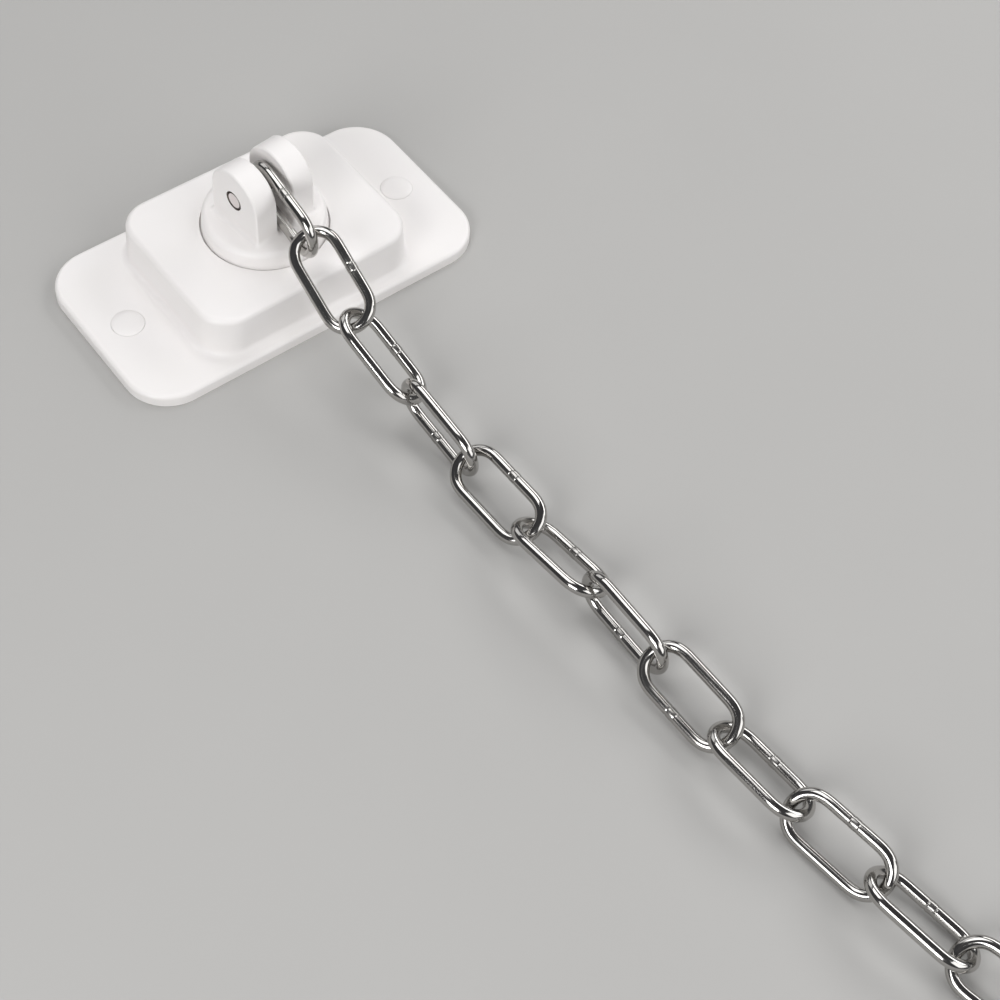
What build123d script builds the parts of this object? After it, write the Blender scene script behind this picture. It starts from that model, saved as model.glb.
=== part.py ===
"""Window restrictor: a moulded base with a swivelling clevis turret and a welded-link chain.

Frame: millimetres, +Z up, origin at the middle of the plate's underside. +X runs along the plate's
long side and the chain leaves towards -Y, down from the clevis and then along the surface that the
plate lies on.
"""

import os
from math import hypot, radians, tan

from build123d import *

os.makedirs("parts", exist_ok=True)

# Base housing: one moulding, a plate with a raised platform.
plate_length = 90.0
plate_width = 48.0
plate_thickness = 3.0
plate_corner = 10.5
plate_edge_round = 1.0
platform_length = 54.0  # at its foot
side_border = 2.8  # plate left bare along each long side of the platform
platform_corner = 8.0
platform_rise = 10.4
platform_draft = 3.0  # degrees
platform_edge_round = 1.5
platform_foot_round = 1.6
housing_wall = 2.4
roof_thickness = 4.0

# Turret: a disc with two ears that swivels in a round seat in the platform.
swivel_angle = 6.5  # degrees, how far the turret is turned at rest
seat_depth = 1.2
seat_gap = 0.3
disc_rise = 3.8
disc_draft = 5.0  # degrees
disc_edge_round = 1.4
slot_width = 4.6
ear_thickness = 5.8
ear_radius = 7.5
ear_edge_round = 0.5
ear_foot_round = 1.3
stem_radius = 6.0
stem_gap = 0.08
stem_end_play = 0.1
collar_radius = 9.0
collar_drop = 2.2

# Pivot pin, pressed into both ears, and the ring-shaped recess round each of its ends.
pin_radius = 2.0
pin_rise = 8.2  # of its axis above the disc
pin_fit = 0.02
pin_sink = 0.1
pin_chamfer = 0.2
pin_ring_width = 0.35
pin_ring_depth = 2.0

# Washer and screw that hold the turret from below.
washer_radius = 8.6
washer_thickness = 1.2
washer_gap = 0.2
screw_radius = 1.5
screw_gap = 0.05
screw_length = 8.0
screw_tip_room = 0.6
screw_head_radius = 3.2
screw_head_height = 2.2
screw_head_round = 0.7
driver_width = 0.9
driver_length = 3.6
driver_depth = 1.1

# Screw holes in the plate's wings and the domed caps that close them.
hole_inset = 8.8  # from the plate's end to the middle of a hole
hole_radius = 2.1
cap_radius = 3.7
cap_gap = 0.05
cap_seat_depth = 1.5
cap_rim_rise = 0.05
cap_dome_rise = 0.45
cap_wall = 1.0

# Chain: twelve equal welded links.
wire = 2.5
link_width = 12.5
link_inner_length = 20.55
link_gap = 0.8  # slack between two crowns
pin_link_gap = 0.1
pin_link_side = 0.35  # how far the first link hangs from the middle of the slot
weld_length = 2.4
weld_rise = 0.16
weld_root = 0.05  # how deep the swelling starts below the wire's surface

# How each link lies, in degrees: turned from -Y towards +X, tipped up, and rolled about its length.
yaw_angles = (-2, -3, 5, 1, 2, 2, 0, 2, 3, 6, 8, 11)
pitch_angles = (-8, -21, -20, -9, -2, 6, -3, -4, 0, 1, -3, 0)
roll_angles = (90, 28, -28, -86, 32, -30, -90, 33, -27, 43, -31, 29)
# Which leg carries the weld: 1 is the leg that lies towards +X before the roll.
weld_leg = (1, 1, 1, 1, 1, 1, 1, -1, 1, 1, 1, 1)

# Heights and sizes that follow from the values above.
platform_width = plate_width - 2 * side_border
platform_top = plate_thickness + platform_rise
platform_lean = platform_rise * tan(radians(platform_draft))
hollow_inset = 2 * (housing_wall + platform_lean)
roof_underside = platform_top - roof_thickness
seat_floor = platform_top - seat_depth
disc_top = platform_top + disc_rise
pin_height = disc_top + pin_rise
ear_outside = slot_width / 2 + ear_thickness
disc_lean = (disc_top - seat_floor) * tan(radians(disc_draft))
disc_radius = hypot(ear_outside, ear_radius) + ear_foot_round + disc_edge_round + disc_lean
seat_radius = disc_radius + seat_gap
collar_end = roof_underside - collar_drop
stem_end = collar_end - stem_end_play
washer_underside = stem_end - washer_thickness
hole_spacing = plate_length - 2 * hole_inset
cap_seat = plate_thickness - cap_seat_depth
wire_radius = wire / 2
crown_radius = (link_width - wire) / 2
link_leg = link_inner_length + wire - 2 * crown_radius


def export_node(part: BuildPart, node: str) -> None:
    """Labels a finished part and writes it as one STEP file."""
    part.part.label = node
    export_step(part.part, f"parts/{node}.step")


# Base housing
with BuildPart() as base_housing:
    with BuildSketch():
        RectangleRounded(plate_length, plate_width, plate_corner)
    extrude(amount=plate_thickness)
    fillet(base_housing.edges().group_by(Axis.Z)[-1], plate_edge_round)
    with BuildSketch(Plane.XY.offset(plate_thickness)):
        RectangleRounded(platform_length, platform_width, platform_corner)
    extrude(amount=platform_rise, taper=platform_draft)
    fillet(base_housing.edges().group_by(Axis.Z)[-1], platform_edge_round)
    level = base_housing.edges().filter_by(
        lambda edge: abs(edge.bounding_box().max.Z - plate_thickness) < 0.01
        and abs(edge.bounding_box().min.Z - plate_thickness) < 0.01
    )
    foot = level.filter_by(
        lambda edge: abs(edge.center().X) < platform_length / 2 + 0.1
        and abs(edge.center().Y) < platform_width / 2 + 0.1
    )
    fillet(foot, platform_foot_round)
    # Hollow underside with a collar round the turret's stem
    with BuildSketch():
        RectangleRounded(
            platform_length - hollow_inset,
            platform_width - hollow_inset,
            platform_corner - housing_wall,
        )
    extrude(amount=roof_underside, mode=Mode.SUBTRACT)
    with BuildSketch(Plane.XY.offset(collar_end)):
        Circle(collar_radius)
    extrude(amount=collar_drop)
    # Round seat and bore of the turret
    with BuildSketch(Plane.XY.offset(seat_floor)):
        Circle(seat_radius)
    extrude(amount=seat_depth, mode=Mode.SUBTRACT)
    with BuildSketch(Plane.XY.offset(collar_end)):
        Circle(stem_radius + stem_gap)
    extrude(amount=seat_floor - collar_end, mode=Mode.SUBTRACT)
    # Screw holes with a wide mouth for the caps
    with BuildSketch():
        with GridLocations(hole_spacing, 0, 2, 1):
            Circle(hole_radius)
    extrude(amount=plate_thickness, mode=Mode.SUBTRACT)
    with BuildSketch(Plane.XY.offset(cap_seat)):
        with GridLocations(hole_spacing, 0, 2, 1):
            Circle(cap_radius + cap_gap)
    extrude(amount=cap_seat_depth, mode=Mode.SUBTRACT)
export_node(base_housing, "base_housing")


# Turret, turned by its rest angle
turned = Plane.XY.rotated((0, 0, swivel_angle))
pin_plane = Plane(origin=(0, 0, pin_height), x_dir=turned.y_dir, z_dir=turned.x_dir)
with BuildPart() as turret:
    with BuildSketch(turned.offset(seat_floor)):
        Circle(disc_radius)
    extrude(amount=disc_top - seat_floor, taper=disc_draft)
    fillet(turret.edges().group_by(Axis.Z)[-1], disc_edge_round)
    for side in (-1, 1):
        with BuildSketch(pin_plane.offset(side * slot_width / 2)):
            Circle(ear_radius)
            with Locations((0, -pin_rise / 2)):
                Rectangle(2 * ear_radius, pin_rise)
        extrude(amount=side * ear_thickness)
    upper = turret.edges().filter_by(lambda edge: edge.center().Z > disc_top + 0.1)
    rims = upper.filter_by(
        lambda edge: abs(abs(pin_plane.to_local_coords(edge.center()).Z) - ear_outside) < 0.01
        or abs(abs(pin_plane.to_local_coords(edge.center()).Z) - slot_width / 2) < 0.01
    )
    fillet(rims, ear_edge_round)
    feet = turret.edges().filter_by(
        lambda edge: abs(edge.bounding_box().max.Z - disc_top) < 0.01
        and abs(edge.bounding_box().min.Z - disc_top) < 0.01
        and abs(pin_plane.to_local_coords(edge.center()).X) < ear_radius + 0.1
        and abs(pin_plane.to_local_coords(edge.center()).Z) < ear_outside + 0.1
        and edge.length < 2.5 * ear_radius
    )
    fillet(feet, ear_foot_round)
    with BuildSketch(turned.offset(stem_end)):
        Circle(stem_radius)
    extrude(amount=seat_floor - stem_end)
    # Pin hole, with a ring-shaped recess at each end
    with BuildSketch(pin_plane):
        Circle(pin_radius + pin_fit)
    extrude(amount=ear_outside, both=True, mode=Mode.SUBTRACT)
    for side in (-1, 1):
        with BuildSketch(pin_plane.offset(side * ear_outside)):
            Circle(pin_radius + pin_ring_width)
        extrude(amount=-side * pin_ring_depth, mode=Mode.SUBTRACT)
    # Pilot hole for the retaining screw
    with BuildSketch(Plane.XY.offset(stem_end)):
        Circle(screw_radius + screw_gap)
    extrude(amount=screw_length - washer_thickness + screw_tip_room, mode=Mode.SUBTRACT)
export_node(turret, "turret")

with BuildPart() as pivot_pin:
    with BuildSketch(pin_plane):
        Circle(pin_radius)
    extrude(amount=ear_outside - pin_sink, both=True)
    chamfer(pivot_pin.edges().filter_by(GeomType.CIRCLE), pin_chamfer)
export_node(pivot_pin, "pivot_pin")


# Washer and screw under the stem
with BuildPart() as retaining_washer:
    with BuildSketch(Plane.XY.offset(washer_underside)):
        Circle(washer_radius)
        Circle(screw_radius + washer_gap, mode=Mode.SUBTRACT)
    extrude(amount=washer_thickness)
export_node(retaining_washer, "retaining_washer")

with BuildPart() as retaining_screw:
    with BuildSketch(Plane.XY.offset(washer_underside - screw_head_height)):
        Circle(screw_head_radius)
    extrude(amount=screw_head_height)
    fillet(retaining_screw.edges().group_by(Axis.Z)[0], screw_head_round)
    with BuildSketch(Plane.XY.offset(washer_underside)):
        Circle(screw_radius)
    extrude(amount=screw_length)
    with BuildSketch(Plane.XY.offset(washer_underside - screw_head_height)):
        Rectangle(driver_length, driver_width)
        Rectangle(driver_width, driver_length)
    extrude(amount=driver_depth, mode=Mode.SUBTRACT)
export_node(retaining_screw, "retaining_screw")


# Domed caps over the screw holes
for node, side in (("screw_cap_left", -1), ("screw_cap_right", 1)):
    middle = side * hole_spacing / 2
    rim_top = plate_thickness + cap_rim_rise
    dome_top = plate_thickness + cap_dome_rise
    with BuildPart() as screw_cap:
        with BuildSketch(Plane.XZ):
            with BuildLine():
                Polyline(
                    (middle, dome_top),
                    (middle, plate_thickness - cap_wall / 2),
                    (middle + cap_radius - cap_wall, plate_thickness - cap_wall / 2),
                    (middle + cap_radius - cap_wall, cap_seat),
                    (middle + cap_radius, cap_seat),
                    (middle + cap_radius, rim_top),
                )
                TangentArc((middle, dome_top), (middle + cap_radius, rim_top), tangent=(1, 0))
            make_face()
        revolve(axis=Axis((middle, 0, 0), (0, 0, 1)))
    export_node(screw_cap, node)


def link_axes(yaw: float, pitch: float, roll: float) -> tuple[Vector, Vector]:
    """Returns the direction along a link and the direction across it, from leg to leg."""
    along = Vector(0, -1, 0).rotate(Axis.X, -pitch).rotate(Axis.Z, yaw)
    across = Vector(1, 0, 0).rotate(Axis.Z, yaw).rotate(Axis((0, 0, 0), along), roll)
    return along, across


def build_link(start: Vector, along: Vector, across: Vector, leg: int) -> BuildPart:
    """Builds one welded link: bent round wire with a slight swelling where its ends meet.

    start is the wire's middle at the first crown, and leg says which leg has the weld.
    """
    flat = Plane(origin=start, x_dir=along, z_dir=along.cross(across))
    near = crown_radius
    far = crown_radius + link_leg
    weld_x = (near + far) / 2
    weld_y = leg * crown_radius
    with BuildPart() as link:
        with BuildLine(flat) as bend:
            Line((near, -crown_radius), (far, -crown_radius))
            CenterArc((far, 0), crown_radius, -90, 180)
            Line((far, crown_radius), (near, crown_radius))
            CenterArc((near, 0), crown_radius, 90, 180)
        with BuildSketch(Plane(origin=flat.from_local_coords((near, -crown_radius, 0)), z_dir=along)):
            Circle(wire_radius)
        sweep(path=bend.wires()[0])
        with BuildSketch(flat):
            with BuildLine():
                before = (weld_x - weld_length / 2, weld_y + wire_radius - weld_root)
                crest = (weld_x, weld_y + wire_radius + weld_rise)
                after = (weld_x + weld_length / 2, weld_y + wire_radius - weld_root)
                ThreePointArc(before, crest, after)
                Polyline(after, (after[0], weld_y), (before[0], weld_y), before)
            make_face()
        revolve(axis=Axis(flat.from_local_coords((weld_x, weld_y, 0)), along))
    return link


# Chain links, each hooked in the one before
end = pin_plane.from_local_coords(Vector(0, 0, pin_link_side))
reach = pin_radius + pin_link_gap + wire_radius  # from the pin's middle back to the first crown
for number, lie in enumerate(zip(yaw_angles, pitch_angles, roll_angles, weld_leg), start=1):
    along, across = link_axes(*lie[:3])
    start = end - along * reach
    link = build_link(start, along, across, lie[3])
    export_node(link, f"chain_link_{number:02d}")
    end = start + along * (link_inner_length + wire)
    reach = wire + link_gap
    print(f"crown of link {number:02d}: at {tuple(end)} across {tuple(across)}")
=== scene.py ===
"""Looks of a white window restrictor with a swivelling clevis and a polished welded chain.

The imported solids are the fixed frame, in metres with +Z up. The mouldings, the caps and the pin are new
surfaces: plane curves carried up a profile, with the exact direction that every corner faces. Every link
of the chain is drawn wire with the bead and the grooves of its weld. The hidden washer and screw keep
their solids. Sizes of the object are in millimetres and degrees, and those of the studio in metres.
"""

import logging
from dataclasses import dataclass
from enum import Enum
from functools import cache

import bpy
import numpy as np
from mathutils import Matrix, Vector
from mathutils.geometry import tessellate_polygon


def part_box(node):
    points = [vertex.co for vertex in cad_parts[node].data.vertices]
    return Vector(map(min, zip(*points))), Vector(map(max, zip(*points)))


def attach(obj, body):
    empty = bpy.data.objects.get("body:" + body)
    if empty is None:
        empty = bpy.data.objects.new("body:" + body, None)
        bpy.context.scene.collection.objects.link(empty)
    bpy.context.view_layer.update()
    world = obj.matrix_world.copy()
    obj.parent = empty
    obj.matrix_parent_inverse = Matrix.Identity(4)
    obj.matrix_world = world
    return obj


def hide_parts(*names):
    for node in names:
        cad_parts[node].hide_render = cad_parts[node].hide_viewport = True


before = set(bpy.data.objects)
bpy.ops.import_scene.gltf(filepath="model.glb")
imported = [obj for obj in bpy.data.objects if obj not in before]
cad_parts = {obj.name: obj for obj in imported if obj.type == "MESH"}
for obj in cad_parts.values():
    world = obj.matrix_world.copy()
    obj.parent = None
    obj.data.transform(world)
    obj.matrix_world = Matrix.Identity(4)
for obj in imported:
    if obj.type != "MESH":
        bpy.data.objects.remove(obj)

LOG = logging.getLogger("window_restrictor")
MM = 0.001
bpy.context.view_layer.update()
NOISE_SPAN = (0.3, 0.7)  # where most values of a noise texture lie
EDGE_ROWS = 12  # profile rows of a rounded edge
WIDE_CIRCLE = 180  # points of the outlines of the seat and the disc
MEET_DIGITS = 9  # decimals of a metre to which corners that meet agree


def linear_colour(hex_code: str) -> tuple[float, float, float, float]:
    """Turns an sRGB colour into linear light.

    Args:
        hex_code: the colour as #RRGGBB.

    Returns:
        Red, green, blue and an alpha of 1.
    """
    srgb = np.array([int(hex_code[i:i + 2], 16) for i in (1, 3, 5)]) / 255
    light = np.where(srgb <= 0.04045, srgb / 12.92, ((srgb + 0.055) / 1.055) ** 2.4)
    return (*light.tolist(), 1.0)


def add_node(
        tree: bpy.types.NodeTree, kind: str, inputs: dict[str | int, object] | None = None,
        **settings: object) -> bpy.types.Node:
    """Adds one node with its settings, values and links.

    Args:
        tree: the tree that takes the node.
        kind: the node's type.
        inputs: a value, or the socket of another node, for each input by name or number.
        settings: the node's own properties.

    Returns:
        The new node.
    """
    node = tree.nodes.new(kind)
    for key, value in settings.items():
        setattr(node, key, value)
    for key, value in (inputs or {}).items():
        if isinstance(value, bpy.types.NodeSocket):
            tree.links.new(value, node.inputs[key])
        else:
            node.inputs[key].default_value = value
    return node


def new_material(name: str) -> tuple[bpy.types.Material, bpy.types.NodeTree, bpy.types.Node]:
    """Makes a material with one Principled shader.

    Args:
        name: the material's name.

    Returns:
        The material, its node tree and its shader node.
    """
    material = bpy.data.materials.new(name)
    material.use_nodes = True
    return material, material.node_tree, material.node_tree.nodes["Principled BSDF"]


@dataclass(frozen=True)
class MouldedPlastic:
    """Smooth plastic, or paint like it: a soft gloss with a faint orange peel and flow clouds."""

    name: str
    colour: str
    cloud_colour: str
    roughness: tuple[float, float]
    cloud_mm: float = 14.0
    cloud_stops: tuple[float, float] = (0.2, 0.8)
    peel_mm: float = 1.6
    peel_height_mm: float = 0.0016
    index: float = 1.53

    @cache
    def material(self) -> bpy.types.Material:
        """Makes the finish once, on Object coordinates.

        Returns:
            The material.
        """
        material, tree, shader = new_material(self.name)
        place = add_node(tree, "ShaderNodeTexCoord").outputs["Object"]
        clouds = add_node(tree, "ShaderNodeTexNoise", {
            "Vector": place, "Scale": 1 / (self.cloud_mm * MM), "Detail": 1.0})
        tint = add_node(tree, "ShaderNodeValToRGB", {"Fac": clouds.outputs["Fac"]})
        colours = (self.cloud_colour, self.colour)
        for stop, position, colour in zip(tint.color_ramp.elements, self.cloud_stops, colours):
            stop.position = position
            stop.color = linear_colour(colour)
        gloss = add_node(tree, "ShaderNodeMapRange", {
            "Value": clouds.outputs["Fac"], "From Min": NOISE_SPAN[0], "From Max": NOISE_SPAN[1],
            "To Min": self.roughness[0], "To Max": self.roughness[1]})
        peel = add_node(tree, "ShaderNodeTexNoise", {
            "Vector": place, "Scale": 1 / (self.peel_mm * MM), "Detail": 1.0})
        bump = add_node(tree, "ShaderNodeBump", {
            "Height": peel.outputs["Fac"], "Strength": 1.0, "Distance": self.peel_height_mm * MM})
        tree.links.new(tint.outputs["Color"], shader.inputs["Base Color"])
        tree.links.new(gloss.outputs["Result"], shader.inputs["Roughness"])
        tree.links.new(bump.outputs["Normal"], shader.inputs["Normal"])
        shader.inputs["IOR"].default_value = self.index
        return material


@dataclass(frozen=True)
class PolishedWire:
    """Drawn stainless steel wire, tumbled bright: mirror gloss with draw lines, duller at the weld."""

    name: str
    colour: str
    weld_colour: str
    roughness: tuple[float, float]
    weld_roughness: float
    loop_mm: float
    round_mm: float
    line_mm: float = 0.3  # real draw lines are a tenth of this and would not show
    streak_mm: float = 9.0
    line_height_mm: float = 0.0009

    @cache
    def material(self) -> bpy.types.Material:
        """Makes the finish once, on the wire's own UV map and weld attribute.

        Returns:
            The material.
        """
        material, tree, shader = new_material(self.name)
        along = add_node(tree, "ShaderNodeUVMap", uv_map="wire").outputs["UV"]
        stretched = add_node(tree, "ShaderNodeMapping", {
            "Vector": along, "Scale": (self.loop_mm / self.streak_mm, self.round_mm / self.line_mm, 1.0)})
        lines = add_node(tree, "ShaderNodeTexNoise", {
            "Vector": stretched.outputs["Vector"], "Scale": 1.0, "Detail": 2.0}, noise_dimensions="2D")
        weld = add_node(tree, "ShaderNodeAttribute", attribute_name="weld").outputs["Fac"]
        gloss = add_node(tree, "ShaderNodeMapRange", {
            "Value": lines.outputs["Fac"], "From Min": NOISE_SPAN[0], "From Max": NOISE_SPAN[1],
            "To Min": self.roughness[0], "To Max": self.roughness[1]})
        dull = add_node(tree, "ShaderNodeMapRange", {
            "Value": weld, "To Min": gloss.outputs["Result"], "To Max": self.weld_roughness})
        tint = add_node(tree, "ShaderNodeValToRGB", {"Fac": weld})
        for stop, colour in zip(tint.color_ramp.elements, (self.colour, self.weld_colour)):
            stop.color = linear_colour(colour)
        bump = add_node(tree, "ShaderNodeBump", {
            "Height": lines.outputs["Fac"], "Strength": 1.0, "Distance": self.line_height_mm * MM})
        tree.links.new(tint.outputs["Color"], shader.inputs["Base Color"])
        tree.links.new(dull.outputs["Result"], shader.inputs["Roughness"])
        tree.links.new(bump.outputs["Normal"], shader.inputs["Normal"])
        shader.inputs["Metallic"].default_value = 1.0
        return material


@dataclass(frozen=True)
class PlainSteel:
    """Steel as it comes from the mill or the plating bath: grey with a fine spangle and a dull shine."""

    name: str
    colour: str
    spangle_colour: str
    roughness: float
    spangle_mm: float = 0.8

    @cache
    def material(self) -> bpy.types.Material:
        """Makes the finish once, on Object coordinates.

        Returns:
            The material.
        """
        material, tree, shader = new_material(self.name)
        place = add_node(tree, "ShaderNodeTexCoord").outputs["Object"]
        spangle = add_node(tree, "ShaderNodeTexNoise", {
            "Vector": place, "Scale": 1 / (self.spangle_mm * MM), "Detail": 2.0})
        tint = add_node(tree, "ShaderNodeValToRGB", {"Fac": spangle.outputs["Fac"]})
        for stop, colour in zip(tint.color_ramp.elements, (self.spangle_colour, self.colour)):
            stop.color = linear_colour(colour)
        tree.links.new(tint.outputs["Color"], shader.inputs["Base Color"])
        shader.inputs["Metallic"].default_value = 1.0
        shader.inputs["Roughness"].default_value = self.roughness
        return material


@dataclass(frozen=True)
class StudioCard:
    """Pale matt card of the studio floor, with a hardly visible mottle. Far off it keeps one even tone."""

    name: str
    colour: str
    mottle_colour: str
    far_colour: str
    roughness: float = 0.8
    specular: float = 0.1
    mottle_mm: float = 60.0
    near_mm: float = 250.0
    far_mm: float = 750.0

    @cache
    def material(self) -> bpy.types.Material:
        """Makes the finish once, on Object coordinates. The even tone far off is seen but lights nothing.

        Returns:
            The material.
        """
        material, tree, shader = new_material(self.name)
        place = add_node(tree, "ShaderNodeTexCoord").outputs["Object"]
        mottle = add_node(tree, "ShaderNodeTexNoise", {
            "Vector": place, "Scale": 1 / (self.mottle_mm * MM), "Detail": 2.0})
        tint = add_node(tree, "ShaderNodeValToRGB", {"Fac": mottle.outputs["Fac"]})
        for stop, colour in zip(tint.color_ramp.elements, (self.mottle_colour, self.colour)):
            stop.color = linear_colour(colour)
        tree.links.new(tint.outputs["Color"], shader.inputs["Base Color"])
        shader.inputs["Roughness"].default_value = self.roughness
        shader.inputs["Specular IOR Level"].default_value = self.specular
        distance = add_node(tree, "ShaderNodeVectorMath", {0: place}, operation="LENGTH")
        share = add_node(tree, "ShaderNodeMapRange", {
            "Value": distance.outputs["Value"], "From Min": self.near_mm * MM,
            "From Max": self.far_mm * MM}, interpolation_type="SMOOTHSTEP")
        ray = add_node(tree, "ShaderNodeLightPath").outputs
        seen = ray["Is Camera Ray"]
        for kind in ("Is Glossy Ray", "Is Transmission Ray"):
            either = add_node(tree, "ShaderNodeMath", {0: seen, 1: ray[kind]}, operation="MAXIMUM")
            seen = either.outputs["Value"]
        factor = add_node(
            tree, "ShaderNodeMath", {0: share.outputs["Result"], 1: seen}, operation="MULTIPLY")
        tone = add_node(tree, "ShaderNodeEmission", {"Color": linear_colour(self.far_colour)})
        mix = add_node(tree, "ShaderNodeMixShader", {
            "Fac": factor.outputs["Value"], 1: shader.outputs["BSDF"], 2: tone.outputs["Emission"]})
        tree.links.new(mix.outputs["Shader"], tree.nodes["Material Output"].inputs["Surface"])
        return material


Finish = MouldedPlastic | PolishedWire | PlainSteel | StudioCard

# Polished mould, hard white plastic: a nearly white, slightly warm skin that blurs what it mirrors.
WHITE_ABS = MouldedPlastic(
    name="abs_white_moulded", colour="#F3F0EF", cloud_colour="#F1EEEC", roughness=(0.40, 0.47))
# The same plastic in the narrow recess round the pin, coloured as a dark and patchy ring: painted shade for
# the shadow in the gap.
RECESS_SHADE_ABS = MouldedPlastic(
    name="abs_white_painted_recess_shade", colour="#94877F", cloud_colour="#2F2826", roughness=(0.5, 0.65),
    cloud_mm=1.5, peel_mm=0.4)
# Paint on the pin's ends: glossier than the moulding, with greyer clouds.
WHITE_PAINT = MouldedPlastic(
    name="steel_painted_white", colour="#E6DDDC", cloud_colour="#CFC5C4", roughness=(0.3, 0.4),
    cloud_mm=3.0, peel_mm=0.7)
# The pin's bare steel shank and chamfers, darker than the metal's own grey: painted shade for the gap round
# the pin's end, with hardly a shine.
SHANK_SHADE_STEEL = PlainSteel(
    name="steel_bare_painted_shade", colour="#77716D", spangle_colour="#5F5A57", roughness=0.5)
# Plating on the washer and the screw: light grey crystals with a cool, half dull shine.
ZINC_PLATE = PlainSteel(
    name="steel_zinc_plated", colour="#C3C3BF", spangle_colour="#A5A6A2", roughness=0.38)
# Uncoated board: an even pale grey with no shine.
PALE_CARD = StudioCard(name="card_pale", colour="#B8B7B5", mottle_colour="#B5B4B2", far_colour="#BFBEBC")


def dress(piece: bpy.types.Object, *finishes: Finish) -> None:
    """Gives a piece its finishes.

    Args:
        piece: the piece.
        finishes: the outer one and, where it has one, the inner one.
    """
    for finish in finishes:
        piece.data.materials.append(finish.material())
    LOG.info("%s: finish %s", piece.name, ", ".join(finish.name for finish in finishes))


def new_piece(mesh: bpy.types.Mesh, node: str, body: str) -> bpy.types.Object:
    """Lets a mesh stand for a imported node.

    Args:
        mesh: the mesh, in its place, with the piece's name.
        node: the node that it stands for.
        body: the body that it rides on.

    Returns:
        The new object, at the origin.
    """
    piece = bpy.data.objects.new(mesh.name, mesh)
    bpy.context.scene.collection.objects.link(piece)
    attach(piece, body)
    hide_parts(node)
    places = np.empty(3 * len(mesh.vertices), np.float32)
    mesh.vertices.foreach_get("co", places)
    corners = places.reshape(-1, 3)
    low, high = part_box(node)
    spread = max(np.abs(corners.min(0) - low).max(), np.abs(corners.max(0) - high).max())
    LOG.info("%s: %d faces, %.3f mm from its node's box", piece.name, len(mesh.polygons), spread / MM)
    return piece


def turned(vector: np.ndarray, axis: np.ndarray, degrees: float) -> np.ndarray:
    """Turns a vector about a unit axis: v cos a + (k x v) sin a + k (k . v)(1 - cos a).

    Args:
        vector: the vector v.
        axis: the unit axis k.
        degrees: the angle a, right-handed.

    Returns:
        The turned vector.
    """
    angle = np.radians(degrees)
    rest = axis * (axis @ vector) * (1 - np.cos(angle))
    return vector * np.cos(angle) + np.cross(axis, vector) * np.sin(angle) + rest


def ring_mesh(name: str, points: np.ndarray, uv: np.ndarray) -> bpy.types.Mesh:
    """Makes a mesh from a grid that closes on itself both ways, as a ring of round wire does.

    Vertex (i, j) is points[i, j]; each face joins (i, j), (i + 1, j), (i + 1, j + 1) and (i, j + 1),
    and the last row and column join the first.

    Args:
        name: the mesh's name.
        points: the grid's points, in metres, as rows x columns x 3.
        uv: the grid's texture places with one more row and column than points, as rows x columns x 2.

    Returns:
        The mesh, with the UV map "wire".
    """
    rows, columns = points.shape[:2]
    i, j = np.meshgrid(np.arange(rows), np.arange(columns), indexing="ij")
    row, next_row = i * columns, (i + 1) % rows * columns
    next_j = (j + 1) % columns
    corners = np.stack([row + j, next_row + j, next_row + next_j, row + next_j], -1)
    places = np.stack([uv[:-1, :-1], uv[1:, :-1], uv[1:, 1:], uv[:-1, 1:]], 2)
    mesh = bpy.data.meshes.new(name)
    mesh.from_pydata(points.reshape(-1, 3), [], corners.reshape(-1, 4))
    layer = mesh.uv_layers.new(name="wire")
    layer.data.foreach_set("uv", places.astype(np.float32).ravel())
    mesh.polygons.foreach_set("use_smooth", np.ones(rows * columns, bool))
    mesh.update()
    return mesh


def rays(degrees: np.ndarray) -> np.ndarray:
    """Returns the unit directions (cos a, sin a) of some angles in degrees."""
    angle = np.radians(degrees)
    return np.stack([np.cos(angle), np.sin(angle)], -1)


@dataclass(frozen=True)
class Curve:
    """A plane curve: each point is a bend centre plus a radius along an outward direction."""

    centres: np.ndarray
    outward: np.ndarray
    radius: float
    closed: bool = True

    def grown(self, by: float = 0.0) -> np.ndarray:
        """Returns the curve's points, moved outward by a distance."""
        return self.centres + (self.radius + by) * self.outward


def circle(radius: float, middle: tuple[float, float] = (0.0, 0.0), count: int = 120) -> Curve:
    """A circle: one bend centre for all directions.

    Args:
        radius: its radius.
        middle: its middle.
        count: how many points it has.

    Returns:
        The curve.
    """
    outward = rays(np.arange(count) * 360 / count)
    return Curve(np.broadcast_to(middle, outward.shape), outward, radius)


def rounded_rectangle(
        length: float, width: float, corner: float, middle: tuple[float, float] = (0.0, 0.0),
        count: int = 24) -> Curve:
    """A rectangle with round corners: a quarter turn about each of four bend centres.

    Args:
        length: its length along the first axis.
        width: its width along the second axis.
        corner: the radius of its corners.
        middle: its middle.
        count: how many points each corner has.

    Returns:
        The curve.
    """
    angle = np.concatenate([np.linspace(0, 90, count) + quarter for quarter in (0, 90, 180, 270)])
    signs = np.repeat([(1, 1), (-1, 1), (-1, -1), (1, -1)], count, axis=0)
    centres = np.array(middle) + signs * (length / 2 - corner, width / 2 - corner)
    return Curve(centres, rays(angle), corner)


def arch(radius: float, drop: float, count: int = 61) -> Curve:
    """Half a circle on two straight legs.

    Args:
        radius: the half circle's radius, about the origin.
        drop: how far the legs run down from it.
        count: how many points the half circle has.

    Returns:
        The open curve.
    """
    angle = np.concatenate([[0], np.linspace(0, 180, count), [180]])
    centres = np.zeros((count + 2, 2))
    centres[[0, -1], 1] = -drop
    return Curve(centres, rays(angle), radius, closed=False)


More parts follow.
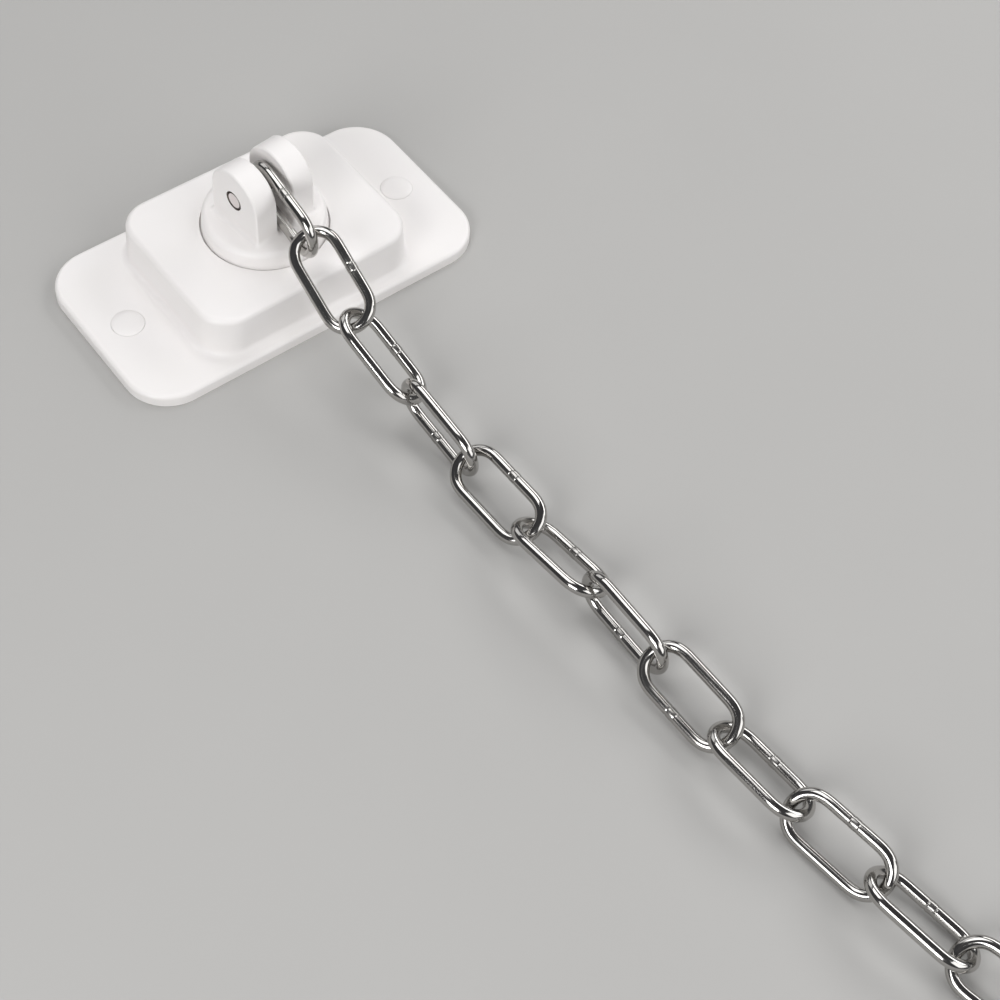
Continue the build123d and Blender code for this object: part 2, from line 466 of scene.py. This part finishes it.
def edge_rows(
        offset: float, height: float, radius: float, start: float, stop: float,
        hollow: bool = False) -> np.ndarray:
    """Profile rows of a rounded edge: (offset + r cos a, height + r sin a), facing a, or a + 180 if hollow.

    Args:
        offset: the rounding's middle, outward from the curve.
        height: the rounding's middle, in height.
        radius: the radius r.
        start: the first angle a.
        stop: the last angle a.
        hollow: whether it fills an inside corner.

    Returns:
        Rows of outward offset, height and the angle that the surface faces above outward.
    """
    angle = np.linspace(start, stop, EDGE_ROWS)
    return np.column_stack([np.array([offset, height]) + radius * rays(angle), angle + 180 * hollow])


def side_rows(low: float, high: float, draft: float, edge: float, foot: float = 0.0) -> np.ndarray:
    """Profile rows of a leaning side with a rounded top edge and, if it has one, a hollow foot.

    The side starts on the curve at the height low and leans in by the angle d. The foot's middle lies
    f (1 - sin d) / cos d outward, and the edge's middle (e + (high - e - low) sin d) / cos d inward.

    Args:
        low: the height of the foot.
        high: the height of the top.
        draft: the angle d.
        edge: the radius e of the top edge.
        foot: the radius f of the foot.

    Returns:
        Rows of outward offset, height and facing angle.
    """
    sine, cosine = np.sin(np.radians(draft)), np.cos(np.radians(draft))
    lower = np.array([[0.0, low, draft]])
    if foot:
        lower = edge_rows(foot * (1 - sine) / cosine, low + foot, foot, 270, 180 + draft, hollow=True)
    inward = (edge + (high - edge - low) * sine) / cosine
    return np.vstack([lower, edge_rows(-inward, high - edge, edge, draft, 90)])


@dataclass(frozen=True)
class Place:
    """Where plane curves lie: an origin, two directions in the plane and the height's direction."""

    origin: np.ndarray
    axes: np.ndarray

    def points(self, plane: np.ndarray, height: np.ndarray) -> np.ndarray:
        """Returns plane points at a height as points in space."""
        return self.origin + plane @ self.axes[:2] + np.multiply.outer(height, self.axes[2])


LEVEL = Place(np.zeros(3), np.eye(3))


class Coat(Enum):
    """Which of its piece's finishes a face has, by the finish's number."""

    OUTER = 0
    INNER = 1


class Skin:
    """The faces of one piece, patch by patch, with the exact direction that each of their corners faces."""

    def __init__(self) -> None:
        """Starts with no faces."""
        self.corners: list[np.ndarray] = []
        self.facing: list[np.ndarray] = []
        self.coats: list[int] = []

    def side(
            self, place: Place, curve: Curve, rows: np.ndarray | list, coat: Coat = Coat.OUTER) -> None:
        """Carries a curve up a profile.

        Point (i, j) is centre_j + (radius + offset_i) outward_j at height_i, and faces
        cos(t_i) outward_j + sin(t_i) up.

        Args:
            place: where the curve lies.
            curve: the curve.
            rows: outward offset, height and facing angle t of each row.
            coat: the finish.
        """
        offset, height, tilt = np.array(rows, float).T
        ring = curve.centres + (curve.radius + offset)[:, None, None] * curve.outward
        points = place.points(ring, np.repeat(height[:, None], ring.shape[1], 1))
        lean = rays(tilt)
        facing = lean[:, :1, None] * (curve.outward @ place.axes[:2]) + lean[:, 1:, None] * place.axes[2]
        if curve.closed:
            points, facing = (np.concatenate([grid, grid[:, :1]], 1) for grid in (points, facing))
        first, second = slice(0, -1), slice(1, None)
        around = ((first, first), (second, first), (second, second), (first, second))
        faces, looks = (
            np.stack([grid[part] for part in around], 2).reshape(-1, 4, 3) for grid in (points, facing))
        self.add(faces, looks, coat)

    def flat(
            self, place: Place, loops: list[np.ndarray], height: float, up: bool = True,
            coat: Coat = Coat.OUTER) -> None:
        """Fills the plane between closed loops.

        Args:
            place: where the loops lie.
            loops: the outer loop and the loops of its holes.
            height: the plane's height.
            up: whether it faces up.
            coat: the finish.
        """
        plane = np.concatenate(loops)
        outlines = [[Vector((*point, 0)) for point in loop] for loop in loops]
        triangles = np.array(tessellate_polygon(outlines))
        points = place.points(plane, np.full(len(plane), height))[triangles]
        self.add(points, np.broadcast_to(place.axes[2] * (1 if up else -1), points.shape), coat)

    def add(self, points: np.ndarray, facing: np.ndarray, coat: Coat) -> None:
        """Takes faces in, wound so that they look the way that they face.

        Args:
            points: the corners, as faces x corners x 3.
            facing: the direction that each corner faces, in the same form.
            coat: the finish.
        """
        across = np.cross(points[:, 1] - points[:, 0], points[:, -1] - points[:, 0])
        backward = (across * facing.mean(1)).sum(1) < 0
        points[backward] = points[backward, ::-1]
        facing = np.where(backward[:, None, None], facing[:, ::-1], facing)
        self.corners += list(points)
        self.facing += list(facing)
        self.coats += [coat.value] * len(points)

    def mesh(self, name: str) -> bpy.types.Mesh:
        """Joins the patches to one closed mesh.

        Args:
            name: the mesh's name.

        Returns:
            The mesh, in metres.
        """
        points = np.round(np.concatenate(self.corners) * MM, MEET_DIGITS)
        vertices, index = np.unique(points, axis=0, return_inverse=True)
        ends = np.cumsum([len(corner) for corner in self.corners])
        mesh = bpy.data.meshes.new(name)
        mesh.from_pydata(vertices, [], [face.tolist() for face in np.split(index.ravel(), ends[:-1])])
        mesh.polygons.foreach_set("use_smooth", np.ones(len(mesh.polygons), bool))
        mesh.polygons.foreach_set("material_index", self.coats)
        mesh.normals_split_custom_set(np.concatenate(self.facing).tolist())
        mesh.update()
        return mesh


class Side(Enum):
    """A side of the object or of a link, by the sign of its place across."""

    LEFT = -1
    RIGHT = 1


@dataclass
class BaseHousing:
    """The base moulding and its caps: a plate, a hollow platform, the turret's seat and two screw holes."""

    plate: tuple[float, float, float] = (90.0, 48.0, 10.5)  # length, width and corner
    plate_top: float = 3.0
    plate_edge: float = 1.0
    platform: tuple[float, float, float] = (54.0, 42.4, 8.0)  # length, width and corner
    platform_top: float = 13.4
    draft: float = 3.0
    edge: float = 1.5
    foot: float = 1.6
    wall: float = 2.4
    roof_underside: float = 9.4
    seat: float = 14.4764
    seat_floor: float = 12.2
    bore: float = 6.08
    collar: float = 9.0
    collar_end: float = 7.2
    hole_place: float = 36.2
    hole: float = 2.1
    cap: float = 3.7
    cap_gap: float = 0.05
    cap_seat: float = 1.5
    cap_rim: float = 3.05
    cap_top: float = 3.45
    cap_wall: float = 1.0
    cap_rows: int = 24
    cap_tip: float = 0.02  # share of the cap's radius where the dome ends in a flat

    def build(self) -> list[bpy.types.Object]:
        """Returns the moulding and its two caps."""
        return [self.moulding(), *(self.cover(side) for side in Side)]

    def dress(self, pieces: list[bpy.types.Object]) -> None:
        """Gives the moulding and the caps their finish."""
        for piece in pieces:
            dress(piece, WHITE_ABS)

    def moulding(self) -> bpy.types.Object:
        """Builds the moulding from the plate's rim up to the seat, and its hollow underside.

        Returns:
            The moulding.
        """
        skin = Skin()
        plate, platform = rounded_rectangle(*self.plate), rounded_rectangle(*self.platform)
        inset = 2 * (self.wall + (self.platform_top - self.plate_top) * np.tan(np.radians(self.draft)))
        length, width, corner = self.platform
        hollow = rounded_rectangle(length - inset, width - inset, corner - self.wall)
        seat, bore, collar = circle(self.seat, count=WIDE_CIRCLE), circle(self.bore), circle(self.collar)
        middles = [(side.value * self.hole_place, 0.0) for side in Side]
        mouths = [circle(self.cap + self.cap_gap, middle) for middle in middles]
        holes = [circle(self.hole, middle) for middle in middles]
        rim = edge_rows(-self.plate_edge, self.plate_top - self.plate_edge, self.plate_edge, 0, 90)
        rise = side_rows(self.plate_top, self.platform_top, self.draft, self.edge, self.foot)
        skin.side(LEVEL, plate, [(0, 0, 0), *rim])
        skin.side(LEVEL, platform, rise)
        wings = [plate.grown(rim[-1, 0]), platform.grown(rise[0, 0]), *(mouth.grown() for mouth in mouths)]
        skin.flat(LEVEL, wings, self.plate_top)
        skin.flat(LEVEL, [platform.grown(rise[-1, 0]), seat.grown()], self.platform_top)
        skin.side(LEVEL, seat, [(0, self.seat_floor, 180), (0, self.platform_top, 180)])
        skin.flat(LEVEL, [seat.grown(), bore.grown()], self.seat_floor)
        skin.side(LEVEL, bore, [(0, self.collar_end, 180), (0, self.seat_floor, 180)])
        skin.flat(LEVEL, [collar.grown(), bore.grown()], self.collar_end, up=False)
        skin.side(LEVEL, collar, [(0, self.collar_end, 0), (0, self.roof_underside, 0)])
        skin.flat(LEVEL, [hollow.grown(), collar.grown()], self.roof_underside, up=False)
        skin.side(LEVEL, hollow, [(0, 0, 180), (0, self.roof_underside, 180)])
        skin.flat(LEVEL, [plate.grown(), hollow.grown(), *(hole.grown() for hole in holes)], 0.0, up=False)
        for mouth, hole in zip(mouths, holes):
            skin.side(LEVEL, mouth, [(0, self.cap_seat, 180), (0, self.plate_top, 180)])
            skin.flat(LEVEL, [mouth.grown(), hole.grown()], self.cap_seat)
            skin.side(LEVEL, hole, [(0, 0, 180), (0, self.cap_seat, 180)])
        return new_piece(skin.mesh("base_moulding"), "base_housing", "base")

    def cover(self, side: Side) -> bpy.types.Object:
        """Builds one cap: a low dome on a short skirt.

        At the share u of the cap's radius c, the dome's height h has fallen by h u^4, so its side leans
        by 4 h u^3 / c and is steepest at the rim.

        Args:
            side: the side that it is on.

        Returns:
            The cap.
        """
        skin, name = Skin(), side.name.lower()
        disc = circle(self.cap, (side.value * self.hole_place, 0.0))
        height = self.cap_top - self.cap_rim
        share = np.linspace(1, self.cap_tip, self.cap_rows)
        lean = np.degrees(np.arctan(4 * height * share ** 3 / self.cap))
        dome = np.column_stack([self.cap * (share - 1), self.cap_top - height * share ** 4, 90 - lean])
        under = self.plate_top - self.cap_wall / 2
        skin.side(LEVEL, disc, dome)
        skin.flat(LEVEL, [disc.grown(dome[-1, 0])], dome[-1, 1])
        skin.side(LEVEL, disc, [(0, self.cap_seat, 0), (0, self.cap_rim, 0)])
        skin.flat(LEVEL, [disc.grown(), disc.grown(-self.cap_wall)], self.cap_seat, up=False)
        skin.side(LEVEL, disc, [(-self.cap_wall, self.cap_seat, 180), (-self.cap_wall, under, 180)])
        skin.flat(LEVEL, [disc.grown(-self.cap_wall)], under, up=False)
        return new_piece(skin.mesh(f"cap_{name}"), f"screw_cap_{name}", "base")


@dataclass
class Turret:
    """The swivelling disc with its two ears, and the pin across them."""

    swivel: float = 6.5  # the turret's turn in the photograph
    disc: float = 14.1764
    disc_foot: float = 12.2
    disc_top: float = 17.2
    draft: float = 5.0
    edge: float = 1.4
    slot: float = 4.6
    ear: float = 5.8
    ear_radius: float = 7.5
    ear_edge: float = 0.5
    ear_foot: float = 1.3
    ear_points: int = 12  # points of each corner of an ear's foot
    pin_height: float = 25.4
    pin: float = 2.0
    pin_fit: float = 0.02
    pin_sink: float = 0.1
    pin_chamfer: float = 0.2
    ring: float = 0.35
    ring_depth: float = 2.0
    stem: float = 6.0
    stem_end: float = 7.1
    pilot: float = 1.55
    pilot_end: float = 14.5

    @property
    def swung(self) -> Place:
        """The level plane, turned as the turret is: across the ears, along them and up."""
        across, along = rays(np.array([self.swivel, self.swivel + 90]))
        return Place(np.zeros(3), np.array([(*across, 0), (*along, 0), (0, 0, 1)]))

    @property
    def pin_plane(self) -> Place:
        """The plane square to the pin: along the ears, up, and across them as its height."""
        across, along, up = self.swung.axes
        return Place(self.pin_height * up, np.array([along, up, across]))

    def build(self) -> list[bpy.types.Object]:
        """Returns the moulding and the pin."""
        return [self.moulding(), self.axle()]

    def dress(self, pieces: list[bpy.types.Object]) -> None:
        """Gives both their finishes: round the pin the moulding has painted shade in its recess, and the
        pin's shank is bare steel darkened as painted shade.
        """
        # Inner finishes: painted shade in the recess round the pin, and on the pin's shank bare steel
        # darkened as painted shade.
        for piece, finishes in zip(pieces, ((WHITE_ABS, RECESS_SHADE_ABS), (WHITE_PAINT, SHANK_SHADE_STEEL))):
            dress(piece, *finishes)

    def moulding(self) -> bpy.types.Object:
        """Builds the disc, its ears with their rounded feet and rims, and the stem below.

        Returns:
            The moulding.
        """
        skin, swung = Skin(), self.swung
        disc, stem, pilot = circle(self.disc, count=WIDE_CIRCLE), circle(self.stem), circle(self.pilot)
        rise = side_rows(self.disc_foot, self.disc_top, self.draft, self.edge)
        foot_top = self.disc_top + self.ear_foot
        size, middle = (self.ear, 2 * self.ear_radius, self.ear_edge), (self.slot + self.ear) / 2
        feet = [rounded_rectangle(*size, (side.value * middle, 0.0), self.ear_points) for side in Side]
        blend = edge_rows(self.ear_foot, foot_top, self.ear_foot, 270, 180, hollow=True)
        skin.side(swung, disc, rise)
        top = [disc.grown(rise[-1, 0]), *(foot.grown(self.ear_foot) for foot in feet)]
        skin.flat(swung, top, self.disc_top)
        for foot in feet:
            skin.side(swung, foot, blend)
        for side in Side:
            self.add_ear(skin, side)
        skin.flat(swung, [disc.grown(), stem.grown()], self.disc_foot, up=False)
        skin.side(swung, stem, [(0, self.stem_end, 0), (0, self.disc_foot, 0)])
        skin.flat(swung, [stem.grown(), pilot.grown()], self.stem_end, up=False)
        skin.side(swung, pilot, [(0, self.stem_end, 180), (0, self.pilot_end, 180)])
        skin.flat(swung, [pilot.grown()], self.pilot_end, up=False)
        return new_piece(skin.mesh("turret_moulding"), "turret", "turret")

    def add_ear(self, skin: Skin, side: Side) -> None:
        """Adds one ear above its foot, with the pin's hole and the ring-shaped recess round the pin's end.

        Args:
            skin: the moulding that takes it.
            side: the side that it is on.
        """
        plane, hand = self.pin_plane, side.value
        back = arch(self.ear_radius, self.pin_height - self.disc_top - self.ear_foot)
        hole, recess = circle(self.pin + self.pin_fit), circle(self.pin + self.ring)
        inside, outside = hand * self.slot / 2, hand * (self.slot / 2 + self.ear)
        floor, edge = outside - hand * self.ring_depth, hand * self.ear_edge
        rows = np.vstack([
            edge_rows(-self.ear_edge, outside - edge, self.ear_edge, hand * 90, 0),
            edge_rows(-self.ear_edge, inside + edge, self.ear_edge, 0, -hand * 90)])
        skin.side(plane, back, rows)
        skin.flat(plane, [back.grown(-self.ear_edge), recess.grown()], outside, up=hand > 0)
        skin.flat(plane, [back.grown(-self.ear_edge), hole.grown()], inside, up=hand < 0)
        # The recess and the hole take the inner finish, whose dark colour is painted shade.
        skin.side(plane, recess, [(0, outside, 180), (0, floor, 180)], Coat.INNER)
        skin.flat(plane, [recess.grown(), hole.grown()], floor, hand > 0, Coat.INNER)
        skin.side(plane, hole, [(0, floor, 180), (0, inside, 180)], Coat.INNER)

    def axle(self) -> bpy.types.Object:
        """Builds the pin: a chamfered round bar, sunk a little below the ears' outer faces.

        Returns:
            The pin.
        """
        skin, plane = Skin(), self.pin_plane
        bar = circle(self.pin)
        end = self.slot / 2 + self.ear - self.pin_sink
        neck = end - self.pin_chamfer
        # The shank and the chamfers take the inner finish: bare steel darkened as painted shade.
        skin.side(plane, bar, [(0, -neck, 0), (0, neck, 0)], Coat.INNER)
        for hand in (side.value for side in Side):
            chamfer = [(0, hand * neck, hand * 45), (-self.pin_chamfer, hand * end, hand * 45)]
            skin.side(plane, bar, chamfer, Coat.INNER)
            skin.flat(plane, [bar.grown(-self.pin_chamfer)], hand * end, up=hand > 0)
        return new_piece(skin.mesh("pin_bar"), "pivot_pin", "turret")


@dataclass(frozen=True)
class LinkLie:
    """How one link lies: turned from -Y towards +X, tipped up and rolled.

    Its weld is on the leg that lies on the named side before the roll.
    """

    yaw: float
    pitch: float
    roll: float
    weld: Side = Side.RIGHT

    def axes(self) -> tuple[np.ndarray, np.ndarray]:
        """Works out how the link points.

        Returns:
            The unit directions along the link and across it, from leg to leg.
        """
        x, y, z = np.eye(3)
        along = turned(turned(-y, x, -self.pitch), z, self.yaw)
        return along, turned(turned(x, z, self.yaw), along, self.roll)


@dataclass
class Chain:
    """The welded chain: twelve links of bright wire, the first on the pin and each on the one before."""

    turret: Turret
    lies: tuple[LinkLie, ...] = (
        LinkLie(-2, -8, 90), LinkLie(-3, -21, 28), LinkLie(5, -20, -28), LinkLie(1, -9, -86),
        LinkLie(2, -2, 32), LinkLie(2, 6, -30), LinkLie(0, -3, -90), LinkLie(2, -4, 33, Side.LEFT),
        LinkLie(3, 0, -27), LinkLie(6, 1, 43), LinkLie(8, -3, -31), LinkLie(11, 0, 29))
    pin_side: float = 0.35  # from the middle of the pin's length to the first link
    pin_reach: float = 3.35  # from the pin's axis back to the first link's crown
    wire: float = 2.5
    width: float = 12.5
    inner_length: float = 20.55
    slack: float = 0.8  # play where two links hook
    ease: float = 0.9  # length of a bend's eased part, as a share of its round part
    bead_length: float = 1.9
    bead_rise: float = 0.06
    bead_lean: float = 0.28  # swing of the bead's height round the wire, as a share of its rise
    bead_turn: float = 2.4  # radians round the wire from one link's high side to the next link's
    groove_depth: float = 0.06
    groove_width: float = 0.14
    far_groove: float = 0.7  # depth of the groove beyond the bead, as a share of the near one's
    grip_depth: float = 0.03
    grip_length: float = 3.4
    line_points: int = 600  # points of a quarter's bend
    rows: int = 176  # grid rows along the wire
    weld_rows: int = 97  # closer grid rows at the weld
    around: int = 40  # grid columns round the wire

    @property
    def crown(self) -> float:
        """Radius of the bend at each end, to the wire's middle."""
        return (self.width - self.wire) / 2

    @property
    def loop(self) -> float:
        """Length of the wire's middle line, once round."""
        return 4 * self.quarter()[0, -1]

    @property
    def weld_place(self) -> float:
        """How far along the wire the weld is: the middle of the first leg."""
        return self.loop / 4

    def quarter(self) -> np.ndarray:
        """Works out a quarter of the middle line, from the first crown's tip to the middle of a leg.

        The line turns by t up to a, then by a + (t - a) / 2 + b / (2 pi) sin(pi (t - a) / b) up to a + b,
        where b = ease a and the turn ends at a right angle. It is scaled to the link's half width and a
        straight length takes it to the link's half length.

        Returns:
            Rows of the length so far, the places along and across the link, and the angle turned.
        """
        a = np.pi / 2 / (1 + self.ease / 2)
        b = self.ease * a
        t = np.linspace(0, a + b, self.line_points)
        late = np.clip(t - a, 0, b)
        turn = np.minimum(t, a) + late / 2 + b / (2 * np.pi) * np.sin(np.pi * late / b)
        steps = np.stack([np.sin(turn), np.cos(turn)])
        place = np.cumsum((steps[:, 1:] + steps[:, :-1]) / 2 * t[1], axis=1)
        along, across = np.column_stack([np.zeros(2), place]) * self.crown / place[1, -1]
        half = (self.inner_length + self.wire) / 2
        length = np.append(t * self.crown / place[1, -1], 0)
        length[-1] = length[-2] + half - along[-1]
        leg = (half, self.crown, np.pi / 2)
        return np.stack([length, *(np.append(row, end) for row, end in zip((along, across, turn), leg))])

    def middle_line(self, s: np.ndarray) -> tuple[np.ndarray, np.ndarray, np.ndarray]:
        """Follows the whole middle line: four quarters, each the mirror image of the one before.

        Args:
            s: places along the wire, from the first crown's tip.

        Returns:
            The places along and across the link, and the angle turned.
        """
        length, along, across, turn = self.quarter()
        part = length[-1]
        step = np.floor_divide(s, part).astype(int) % 4
        rest = np.where(step % 2, (step + 1) * part - s, s - step * part)
        back, low = np.isin(step, (1, 2)), step > 1
        place = np.interp(rest, length, along)
        angle = np.interp(rest, length, turn)
        angle = np.choose(step, [angle, np.pi - angle, np.pi + angle, 2 * np.pi - angle])
        place = np.where(back, self.inner_length + self.wire - place, place)
        return place, np.interp(rest, length, across) * np.where(low, -1, 1), angle

    def steps(self) -> np.ndarray:
        """Spaces the grid's rows along the wire, closer together at the weld.

        Returns:
            The rows' places along the wire.
        """
        even = np.linspace(0, self.loop, self.rows, endpoint=False)
        close = self.weld_place + np.linspace(-self.grip_length, self.grip_length, self.weld_rows)
        return np.sort(np.concatenate([even[np.abs(even - self.weld_place) > self.grip_length], close]))

    def thickness(self, s: np.ndarray, turn: np.ndarray, seed: int) -> np.ndarray:
        """Radius of the wire, with a low bead between two grooves where its ends were welded.

        With d the distance from the weld, the radius is r + rise (1 - (2d / length)^2) inside the bead,
        less a bell-shaped groove at each end of it and two flats that the welding grips left. The bead
        stands a little higher on one side.

        Args:
            s: places along the wire, as a column.
            turn: angles round the wire, as a row.
            seed: the link's number, which sets the bead's high side.

        Returns:
            The radius at each place and angle.
        """
        d = s - self.weld_place
        half = self.bead_length / 2
        lopsided = 1 - self.bead_lean + self.bead_lean * np.cos(turn - self.bead_turn * seed)
        bead = self.bead_rise * np.clip(1 - (d / half) ** 2, 0, None) * lopsided
        near, far = (np.exp(-((d + end) / self.groove_width) ** 2) for end in (half, -half))
        grooves = self.groove_depth * (near + self.far_groove * far)
        fade = np.clip(1 - (d / self.grip_length) ** 2, 0, None) ** 2
        flats = self.grip_depth * fade * np.clip(np.cos(2 * turn), 0, None) ** 2
        return self.wire / 2 + bead - grooves - flats

    def surface(
            self, start: np.ndarray, lie: LinkLie, seed: int) -> tuple[np.ndarray, np.ndarray, np.ndarray]:
        """Works out one link: a round section carried along the middle line.

        Where the line has turned by the angle t, outward is -cos t along the link and sin t across it. The
        section's angle runs from outward to the link's flat side.

        Args:
            start: the wire's middle at the first crown.
            lie: how the link lies.
            seed: the link's number.

        Returns:
            The grid of points in metres, its texture places, and each row's share of weld.
        """
        along, across = lie.axes()
        across = across * lie.weld.value
        side = np.cross(along, across)
        s = self.steps()
        ahead, beside, angle = self.middle_line(s)
        outward = np.sin(angle)[:, None] * across - np.cos(angle)[:, None] * along
        middle = start + ahead[:, None] * along + beside[:, None] * across
        turn = np.arange(self.around) * 2 * np.pi / self.around
        radius = self.thickness(s[:, None], turn[None, :], seed)
        section = np.cos(turn)[None, :, None] * outward[:, None] + np.sin(turn)[None, :, None] * side
        points = (middle[:, None] + radius[..., None] * section) * MM
        u = np.append(s, s[0] + self.loop) / self.loop
        v = np.linspace(0, 1, self.around + 1)
        uv = np.stack(np.meshgrid(u, v, indexing="ij"), -1)
        weld = np.exp(-((s - self.weld_place) / self.bead_length) ** 2)
        return points[:, ::-1], uv, weld

    def build(self) -> list[bpy.types.Object]:
        """Builds every link in the place of its node and lets it ride on the node's body.

        Returns:
            The links.
        """
        across, _, up = self.turret.swung.axes
        end = self.turret.pin_height * up + self.pin_side * across
        reach = self.pin_reach
        links = []
        for number, lie in enumerate(self.lies, start=1):
            along, _ = lie.axes()
            start = end - along * reach
            end = start + along * (self.inner_length + self.wire)
            reach = self.wire + self.slack
            points, uv, weld = self.surface(start, lie, number)
            body = f"link_{number:02d}"
            mesh = ring_mesh(f"{body}_wire", points, uv)
            share = mesh.attributes.new("weld", "FLOAT", "POINT")
            share.data.foreach_set("value", np.repeat(weld, self.around).astype(np.float32))
            links.append(new_piece(mesh, f"chain_{body}", body))
        return links

    def dress(self, pieces: list[bpy.types.Object]) -> None:
        """Gives the links their finish.

        Args:
            pieces: the links.
        """
        # Tumbled bright: it mirrors the studio in long streaks, which the draw lines blur across the wire.
        polished = PolishedWire(
            name="stainless_wire_polished", colour="#B6B4B1", weld_colour="#A6A4A1", roughness=(0.09, 0.17),
            weld_roughness=0.26, loop_mm=self.loop, round_mm=np.pi * self.wire)
        for piece in pieces:
            dress(piece, polished)


@dataclass
class Fixings:
    """The hidden washer and screw, which keep their solids."""

    nodes: tuple[str, ...] = ("retaining_washer", "retaining_screw")

    def build(self) -> list[bpy.types.Object]:
        """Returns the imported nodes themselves."""
        return [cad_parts[node] for node in self.nodes]

    def dress(self, pieces: list[bpy.types.Object]) -> None:
        """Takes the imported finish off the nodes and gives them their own.

        Args:
            pieces: the nodes.
        """
        for piece in pieces:
            piece.data.materials.clear()
            dress(piece, ZINC_PLATE)


@dataclass(frozen=True)
class Softbox:
    """A soft lamp: where it stands, its size in metres and its power in watts."""

    name: str
    place: tuple[float, float, float]
    size: tuple[float, float]
    watts: float

    def build(self, faces: tuple[float, float, float]) -> None:
        """Adds the lamp to the scene.

        Args:
            faces: the point that it faces.
        """
        lamp = bpy.data.lights.new(self.name, "AREA")
        lamp.shape = "RECTANGLE"
        lamp.size, lamp.size_y = self.size
        lamp.energy = self.watts
        holder = bpy.data.objects.new(self.name, lamp)
        holder.location = self.place
        sight = Vector(faces) - Vector(self.place)
        holder.rotation_euler = sight.to_track_quat("-Z", "Y").to_euler()
        bpy.context.scene.collection.objects.link(holder)


@dataclass
class Studio:
    """Pale floor, soft lamps and the camera at the photograph's place."""

    lamps: tuple[Softbox, ...] = (
        Softbox("softbox_top", (0.05, 0.26, 0.85), (0.60, 0.50), 2.6),  # back, for streaks along the wire
        Softbox("softbox_right", (0.62, -0.10, 0.42), (1.00, 0.26), 2.75),
        Softbox("softbox_left", (-0.62, -0.30, 0.42), (0.40, 0.40), 3.75),
        Softbox("softbox_front", (0.25, -0.85, 0.55), (0.80, 0.60), 3.2),
        Softbox("softbox_back", (0.20, 0.85, 0.60), (0.80, 0.50), 1.4))
    middle: tuple[float, float, float] = (0.0, -0.09, 0.0)  # what the lamps face
    surround: str = "#4A4A4C"
    eye: tuple[float, float, float] = (-0.147245, -0.242229, 0.315364)
    target: tuple[float, float, float] = (0.003063, -0.082658, 0.0)
    roll: float = 6.629
    lens_mm: float = 65.95
    sensor_mm: float = 36.0
    clip: tuple[float, float] = (0.01, 20.0)
    floor_half: float = 6.0
    floor_border: float = 0.6
    floor_drop: float = 0.00003

    def build(self) -> None:
        """Builds the floor, the lamps, the surround and the camera."""
        self.floor()
        for lamp in self.lamps:
            lamp.build(self.middle)
        world = bpy.data.worlds.new("studio_surround")
        world.use_nodes = True
        world.node_tree.nodes["Background"].inputs["Color"].default_value = linear_colour(self.surround)
        scene = bpy.context.scene
        scene.world = world
        scene.view_settings.view_transform = "Standard"
        self.camera()

    def floor(self) -> None:
        """Lays a flat card just under the plate, with a low upright border far off."""
        square = self.floor_half * np.array([(-1, -1), (1, -1), (1, 1), (-1, 1)])
        levels = (-self.floor_drop, self.floor_border)
        corners = np.vstack([np.column_stack([square, np.full(4, level)]) for level in levels])
        border = [(i, i + 4, (i + 1) % 4 + 4, (i + 1) % 4) for i in range(4)]
        mesh = bpy.data.meshes.new("studio_floor")
        mesh.from_pydata(corners, [], [(0, 1, 2, 3), *border])
        card = bpy.data.objects.new("studio_floor", mesh)
        bpy.context.scene.collection.objects.link(card)
        dress(card, PALE_CARD)

    def camera(self) -> None:
        """Sets the camera at the eye, looking at the target and rolled about its line of sight."""
        forward = (Vector(self.target) - Vector(self.eye)).normalized()
        level = forward.cross(Vector((0, 0, 1))).normalized()
        axes = Matrix((level, level.cross(forward), -forward)).transposed()
        lens = bpy.data.cameras.new("photo_camera")
        lens.lens, lens.sensor_width = self.lens_mm, self.sensor_mm
        lens.clip_start, lens.clip_end = self.clip
        holder = bpy.data.objects.new("photo_camera", lens)
        spin = Matrix.Rotation(np.radians(self.roll), 3, "Z")
        holder.matrix_world = Matrix.Translation(self.eye) @ (axes @ spin).to_4x4()
        bpy.context.scene.collection.objects.link(holder)
        bpy.context.scene.camera = holder


def main() -> None:
    """Builds and dresses the chain, the base, the turret and the fixings, then sets up the studio."""
    logging.basicConfig(level=logging.INFO, format="%(name)s: %(message)s")
    turret = Turret()
    for assembly in (Chain(turret), BaseHousing(), turret, Fixings()):
        assembly.dress(assembly.build())
    Studio().build()


if __name__ == "__main__":
    main()
